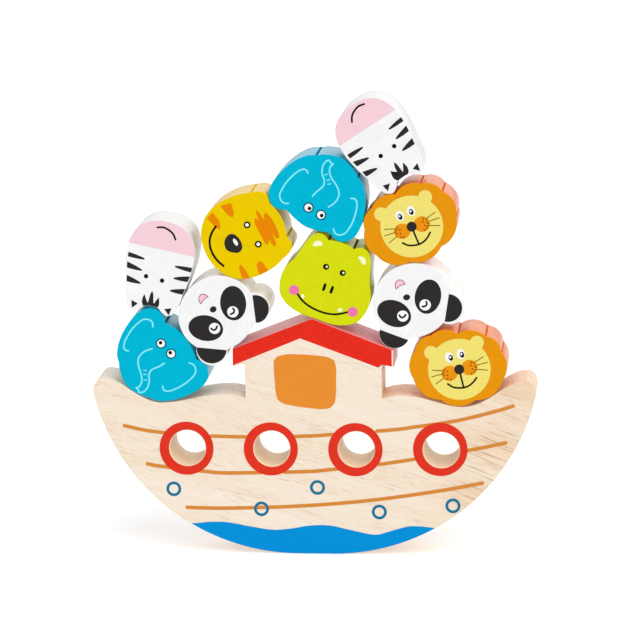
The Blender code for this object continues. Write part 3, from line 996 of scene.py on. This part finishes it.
# %% Hippo design
PALE_PATCHES = [
    xz("-12.9 13.5  -12.9 15.3  -11.6 16.7  -9.7 16.8  -8.6 15.5  -10.7 14.2"),
    xz("9.8 15.7  11.6 16.6  13.9 15.6  14.3 13.4  13.1 13.2  11.2 14.7"),
    xz("-10.4 -11.9  -9.8 -10.9  -8.6 -11.7  -8.9 -13"),
    xz("9.1 -13.2  9.2 -11.8  10.7 -11.1  11.3 -12.4"),
]
HIPPO_MOUTH = xz("""
    -12.6 -11.5  -9.3 -13.9  -5.2 -15.5  -0.8 -16.2  3.8 -16.2  8 -15.3  11 -13.9  14.2 -11.8""")
HIPPO_EYES, HIPPO_EYE = xz("-3.4 5.8  5.3 5.7"), 1.5
SPARK, SPARK_RIGHT, SPARK_RISE = 0.55, 0.3, 0.15
NOSTRILS, NOSTRIL_LEVEL, NOSTRIL, NOSTRIL_LINE = (-0.9, 2.95), -4.1, 2.6, 1.4
CHEEKS, CHEEK, HIPPO_LINE = xz("-14.5 -10.5  16.3 -11"), 2.45, 0.95

hippo = []
for x, z in HIPPO_EYES:
    hippo += [("line_black", 1, [disc(x, z, HIPPO_EYE)]),
              ("white", 2, [disc(x + SPARK_RIGHT, z + SPARK_RISE, SPARK, steps=20)])]
hippo += [("line_black", 1, [dash(x, NOSTRIL_LEVEL, NOSTRIL, 90, NOSTRIL_LINE)])
          for x in NOSTRILS]
hippo += [("tooth_cream", 1, [flowing(knots)]) for knots in PALE_PATCHES]
hippo += [("line_black", 2, [brush(path(HIPPO_MOUTH), HIPPO_LINE)])]
hippo += [("cheek_pink", 3, [disc(x, z, CHEEK)]) for x, z in CHEEKS]
keep("hippo", hippo)

# %% [markdown]
# The two lions share a face, but each looks its own way, and their muzzles are turned differently
# about the nose. So the face is made in groups, and each lion gets its own sum of them.

# %% Lion designs
FRECKLES = xz("""
    -6.6 0.5  -5.7 -0.9  -8 -1.3  -7.8 -2.4  -6.2 -2.8  -6.6 -4.4  -5.3 -5.2  -7.4 -0.4  7 0
    8.3 -0.5  6.2 -1.25  8.2 -2  8.4 -2.9  6.5 -3.2  7.7 -4  6.9 -4.8  5.5 -5.2""")
WHISKERS = xz("""
    -7.8 0.2  -12.65 1.8  -8.5 -1.4  -13.9 -1.25  -8.2 -3.5  -12.85 -5.25
    8.9 -0.1  13.4 1.1  9.4 -2  14.5 -2.1  8.5 -3.95  13.35 -5.85""").reshape(6, 2, 2)
LION_MOUTH = xz("-7 -7.4  -4.6 -9.65  -0.8 -10.85  2.3 -10.75  5 -9.6  7.55 -7.55")
LIP_LINE = ((0.15, -3.0), (0.2, -10.6))
LION_NOSE, NOSE_SIZE = np.array([0.2, -1.55]), 2.45
MUZZLE_HALVES = ((-4.95, -2.1, 4.1, 3.8), (5.35, -2.1, 4.0, 3.9))
LION_FACE, FACE_SHIFT = (30.8, 30.6, [(-11.6, 11.2), (11.6, 11.1)], 3.4), (0.25, -1.5)
FRECKLE, WHISKER, MOUTH_LINE, FACE_RIM = 0.38, 0.42, 0.85, 0.2
# middle of each eye, then the half axes of the white, the pupil and its spark
LION_EYES = xz("-3.2 5.5  2.75 5.75")
LION_WHITE, LION_PUPIL, LION_SPARK = (2.0, 2.55), (1.1, 1.5), (0.5, 0.6)
PUPIL_DROP, SPARK_LEFT, SPARK_DROP = 0.45, 0.2, 0.05


def gaze(left, right):
    """Two white eyes whose pupils are shifted sideways, each with a spark of light."""
    marks = []
    for (x, z), shift in zip(LION_EYES, (left, right)):
        spark = disc(x + shift - SPARK_LEFT, z - SPARK_DROP, *LION_SPARK, steps=20)
        marks += [("white", 3, [disc(x, z, *LION_WHITE)]),
                  ("line_black", 4, [disc(x + shift, z - PUPIL_DROP, *LION_PUPIL)]),
                  ("white", 5, [spark])]
    return marks


def swung(marks, tilt):
    """Marks turned about the lion's nose."""
    return [(ink, layer, [turned(loop - LION_NOSE, tilt) + LION_NOSE])
            for ink, layer, loop in marks]


lion_face = eared(*LION_FACE) + FACE_SHIFT
face = [("face_rim", 1, [moved(leftward(lion_face), -FACE_RIM)]), ("face_yellow", 2, [lion_face])]
muzzle = [("muzzle_orange", 3, disc(*half)) for half in MUZZLE_HALVES]
muzzle += [("freckle", 4, disc(x, z, FRECKLE, steps=12)) for x, z in FRECKLES]
muzzle += [("whisker", 3, brush(np.linspace(a, b, 6), WHISKER)) for a, b in WHISKERS]
mouth = [("line_black", 4, [brush(np.linspace(*LIP_LINE, 8), MOUTH_LINE)]),
         ("line_black", 4, [brush(path(LION_MOUTH), MOUTH_LINE)]),
         ("black", 5, [disc(*LION_NOSE, NOSE_SIZE)])]
keep("lion_top", face + swung(muzzle, 1.5) + mouth + gaze(0.0, 0.05))
keep("lion_low", face + swung(muzzle, -3.5) + mouth + gaze(0.75, 0.5))

# %% [markdown]
# The tiger's brow carries one jagged patch. The stripes on its cheeks run over the edge of the
# block, so each is a grid between its lower and its upper line.

# %% Tiger design
PATCH = xz("""
    -9 11.5  -7.8 12.1  -5.4 12.4  -3 13  -5.4 13.8  -5.9 15  -4.4 15.8  -0.9 16.5  3.3 16.5
    6.6 16  8.1 15.1  7.8 14.2  6 13.6  3.9 13.3  6.7 13  10.3 12.5  11.1 11.6  9.6 11  6 10.5
    7.8 9.8  8.7 8.5  7.4 8  3.4 7.9  -0.9 7.8  -4.6 8.2  -5.9 9.2  -3.4 10  -6.2 10.5""")
PATCH_NOTCHES = [3, 13, 18, 26]
CHEEK_STRIPES = xz("""
    -11.1 -0.8  -12.7 -2  -15.2 -2.8  -18.8 -3.5  -11.1 -0.7  -12.2 0.6  -15.8 1.6  -17.8 1.8
    -8.3 -9.3  -10.1 -10.3  -13 -11.3  -16.3 -12.2  -8.3 -9.2  -10.5 -7.8  -13.6 -7.5  -17.7 -8.6
    11.4 -8  12.6 -9.1  16.2 -9.9  18.3 -10.2  11.4 -7.9  14.4 -7  18.1 -6.7  19.7 -6.6
    14.1 1.2  15.4 -0.7  18.3 -1.5  20.3 -1.8  14.1 1.3  15.5 2.4  17.9 2.9  20.3 3.3
""").reshape(4, 2, 4, 2)
TIGER_NOSE = xz("""
    -3.5 -4.1  -1.2 -2.8  2.2 -2.5  5.1 -3.7  5.8 -5.9  4.6 -8.4  2 -10.6  -1 -10.3  -3.5 -8.2
    -4.2 -5.9""")
NOSE_LIGHT = xz("-1.5 -5  -0.2 -4.2  2.1 -4.4  2.5 -5  1.2 -5.7  -0.7 -5.7")
TIGER_MOUTH = xz("-10.7 -10.2  -8.6 -13.5  -5.9 -16  -2.3 -17.4  1.4 -17.7  5.1 -17.1  8.5 -15.7")
TIGER_EYES = xz("-4.6 4.1  6.4 4.7")
TIGER_EYE, TIGER_SPARK, TIGER_LINE = 1.7, 0.9, 1.05

tiger = [("stripe_orange", 1, [flowing(PATCH, PATCH_NOTCHES, 6)])]
tiger += [("stripe_orange", 1, ruled(*(along(path(knots), eased(30)) for knots in stripe)))
          for stripe in CHEEK_STRIPES]
tiger += [("black", 2, [flowing(TIGER_NOSE)]), ("white", 3, [flowing(NOSE_LIGHT)]),
          ("line_black", 2, [brush(path(TIGER_MOUTH), TIGER_LINE)])]
for x, z in TIGER_EYES:
    tiger += [("line_black", 2, [disc(x, z, TIGER_EYE)]),
              ("white", 3, [disc(x, z, TIGER_SPARK)])]
keep("tiger", tiger)

# %% [markdown]
# ### Print on a block
#
# The blocks are printed one by one, so every print sits a little turned or shifted, and one zebra
# shows its mirrored back. Marks that would then stand off the block are pulled back to its rim,
# and the zebra's muzzle is drawn from its printed edge to the chin of the block.

# %% Fit the print to its block
MUZZLE = -9.7
FAR, LIP, CHIN = 30.0, 0.2, 0.08
PANDA_EAR_INK = 7.55


def registered(marks, spin, right, up, mirrored):
    """Print turned and shifted on its block, and mirrored if its back is shown."""
    def put(outline):
        outline = turned(outline, spin) + (right, up)
        return flip(outline) if mirrored else outline
    return [(ink, layer, [put(loop) for loop in shape] if isinstance(shape, list) else put(shape))
            for ink, layer, shape in marks]


def muzzle_ink(outline, spin, right, up, mirrored):
    """Grid from the straight edge of the pink muzzle, as printed, to the chin of the block."""
    ends = turned(np.array([(-FAR, MUZZLE), (FAR, MUZZLE)]), spin) + (right, up)
    ends = flip(ends)[::-1] if mirrored else ends
    chin = moved(outline, CHIN)
    chin = chin[chin[:, 1] < np.interp(chin[:, 0], ends[:, 0], ends[:, 1])]
    chin = along(chin[np.argsort(np.arctan2(chin[:, 0], MUZZLE - chin[:, 1]))], eased(60))
    x = chin[0, 0] + (chin[-1, 0] - chin[0, 0]) * eased(60)
    lip = np.stack([x, np.interp(x, ends[:, 0], ends[:, 1]) + LIP], axis=1)
    return ("muzzle_pink", 1, ruled(lip, chin))


def kept_on(outline, board):
    """Outline whose points off the board's face are brought to the nearest point of its rim. A
    point is inside if a line from it to the right crosses the rim an odd number of times."""
    rim = moved(board, EDGE / 2)
    side = np.roll(rim, -1, axis=0) - rim
    above, next_above = rim[:, 1] > outline[:, 1:], np.roll(rim[:, 1], -1) > outline[:, 1:]
    slope = side[:, 0] / np.where(side[:, 1] == 0, 1.0, side[:, 1])
    crossing = rim[:, 0] + slope * (outline[:, 1:] - rim[:, 1])
    inside = np.sum((above != next_above) & (outline[:, :1] < crossing), axis=1) % 2 == 1
    return np.where(inside[:, None], outline, nearest(outline, rim))


def trimmed_ears(marks):
    """Grids of ear ink pulled back, towards the ear's middle, to the edge of the wooden ear."""
    for number, ear in enumerate(PANDA_EARS):
        ink, layer, grid = marks[number]
        reach = norm(grid - ear, axis=2, keepdims=True)
        marks[number] = (ink, layer, ear + (grid - ear) * np.minimum(1.0, PANDA_EAR_INK / reach))
    return marks


print("zebra muzzle below", MUZZLE, "mm, panda ear ink within", PANDA_EAR_INK, "mm")

# %% [markdown]
# ### Blocks in the stack
#
# A head's place is the middle of its solid's box, less the middle of the turned outline's own
# box. Each block gets a matt face, glossier sides, painted shade in its creases, a grain that runs
# another way on every block, and its print.

# %% Make the ten heads
# kind: face and side paint, the paint of its creases' painted shade, then the gloss and the
# streaks of its sides
PAINTS = {
    "elephant": ((0, 185, 217), (14, 172, 203), (0, 132, 158), 0.6, 0.25),
    "lion": ((235, 152, 14), (240, 122, 36), (226, 104, 16), 0.55, 0.25),
    # the panda's side white is painted a little lighter than its face: painted light
    "panda": ((249, 249, 250), (252, 249, 244, 0.82), None, 0.55, 0.06),
    "hippo": ((217, 224, 18), (212, 216, 22), (104, 106, 8), 0.3, 0.25),
    # the zebra's side white is painted a little darker than its face: painted shade
    "zebra": ((249, 249, 249), (238, 238, 236), None, 0.3, 0.06),
    "tiger": ((239, 205, 0), (240, 194, 40), (232, 190, 20), 0.5, 0.25),
}
# roughness, gloss and streaks of a face and of a crease's painted shade; roughness of the sides
FACE_PAINT, CREASE_SHADE_PAINT, SIDE_ROUGH = (0.5, 0.02, 0.05), (0.6, 0.0, 0.1), 0.3
# how far the painted shade reaches along the outline from a notch, in millimetres
CREASE_SHADE_WIDTH = 0.75
GRAIN_STEP = 37
# head: kind, tilt, then the print's turn (clockwise), shift right, shift up, and whether mirrored
HEADS = {
    "elephant_low": ("elephant", 50.1, -3.1, 0.0, -0.9, False),
    "lion_low": ("lion", 0.3, -13.8, 0.0, 0.0, False),
    "panda_left": ("panda", 134.9, 2.7, -1.05, 0.05, False),
    "panda_right": ("panda", 155.6, -2.7, 1.05, 0.05, False),
    "hippo": ("hippo", 19.6, 0.0, 0.0, 0.0, False),
    "zebra_low": ("zebra", 190.9, 1.7, -0.4, 0.5, False),
    "tiger": ("tiger", 63.8, 0.0, 0.0, 0.0, False),
    "lion_top": ("lion", -26.7, 4.7, 0.0, 0.0, False),
    "elephant_top": ("elephant", 208.2, 3.1, 0.1, 0.9, False),
    "zebra_top": ("zebra", 144.8, -1.7, 0.4, -0.45, True),
}


def in_crease_shade(outline, kind):
    """For each stretch of the outline, whether it lies in a crease with painted shade."""
    middle = (outline + np.roll(outline, -1, axis=0)) / 2
    return norm(middle[:, None] - shade_notches[kind][None], axis=2).min(axis=1) < CREASE_SHADE_WIDTH


for number, (head, (kind, tilt, *registration)) in enumerate(HEADS.items()):
    outline = kinds[kind]
    low, high = (np.array(corner)[[0, 2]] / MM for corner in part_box(head))
    leaning = turned(outline, tilt)
    place = (*((low + high) / 2 - (leaning.min(axis=0) + leaning.max(axis=0)) / 2), tilt)
    grain = radians(GRAIN_STEP * number)
    face, side, crease_shade, gloss, streak = PAINTS[kind]
    paints = [painted(head + "_face", face, grain, *FACE_PAINT),
              painted(head + "_side", side, grain, SIDE_ROUGH, gloss, streak)]
    points, faces, marks = sawn([outline], [EDGE])
    finishes = marks // 2
    # the sides in a crease get a darker paint: painted shade
    if crease_shade:
        finishes[marks == 2] += in_crease_shade(outline, kind)
        paints.append(painted(head + "_crease_shade", crease_shade, grain, *CREASE_SHADE_PAINT))
    block = build(head + "_block", head, set_down(points, place), faces,
                  finishes, paints)
    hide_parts(head)
    marks = registered(designs[head if kind == "lion" else kind], *registration)
    if kind == "panda":
        marks = trimmed_ears(marks)
    if kind == "zebra":
        marks = [(ink, layer, [kept_on(loop, outline) for loop in shape])
                 for ink, layer, shape in marks]
        marks.insert(0, muzzle_ink(outline, *registration))
    print_on(head + "_print", head, marks, outline, EDGE, place)
    print(head, "at", np.round(place, 1), "-", len(points), "points,", len(marks), "marks")

# %% [markdown]
# ## Floor
#
# A plain white sheet that isn't part of the toy. A faint glow of its own lets it run out
# into the white.

# %% Lay the floor
FLOOR_REACH, FLOOR_GLOW = 4.0, 0.15
PAPER_ROUGH, PAPER_GLOSS, PAPER_SPECK = 0.8, 0.1, 90

corner = np.array([(-1, -1, 0), (1, -1, 0), (1, 1, 0), (-1, 1, 0)]) * FLOOR_REACH
sheet = bpy.data.meshes.new("floor")
sheet.from_pydata(corner.tolist(), [], [(0, 1, 2, 3)])
paper, tree, shader = finish("paper", code(236, 236, 236, 1.0), PAPER_ROUGH, PAPER_GLOSS)
shader.inputs["Emission Color"].default_value = WHITE
shader.inputs["Emission Strength"].default_value = FLOOR_GLOW
tone = blend(fibre(tree, 0.0, PAPER_SPECK, PAPER_SPECK, PAPER_SPECK),
             code(235, 235, 235, 1.0), code(238, 238, 238, 1.0))
tree.links.new(tone, shader.inputs["Base Color"])
sheet.materials.append(paper)
floor = linked("floor", sheet)
print("floor", 2 * FLOOR_REACH, "m wide")
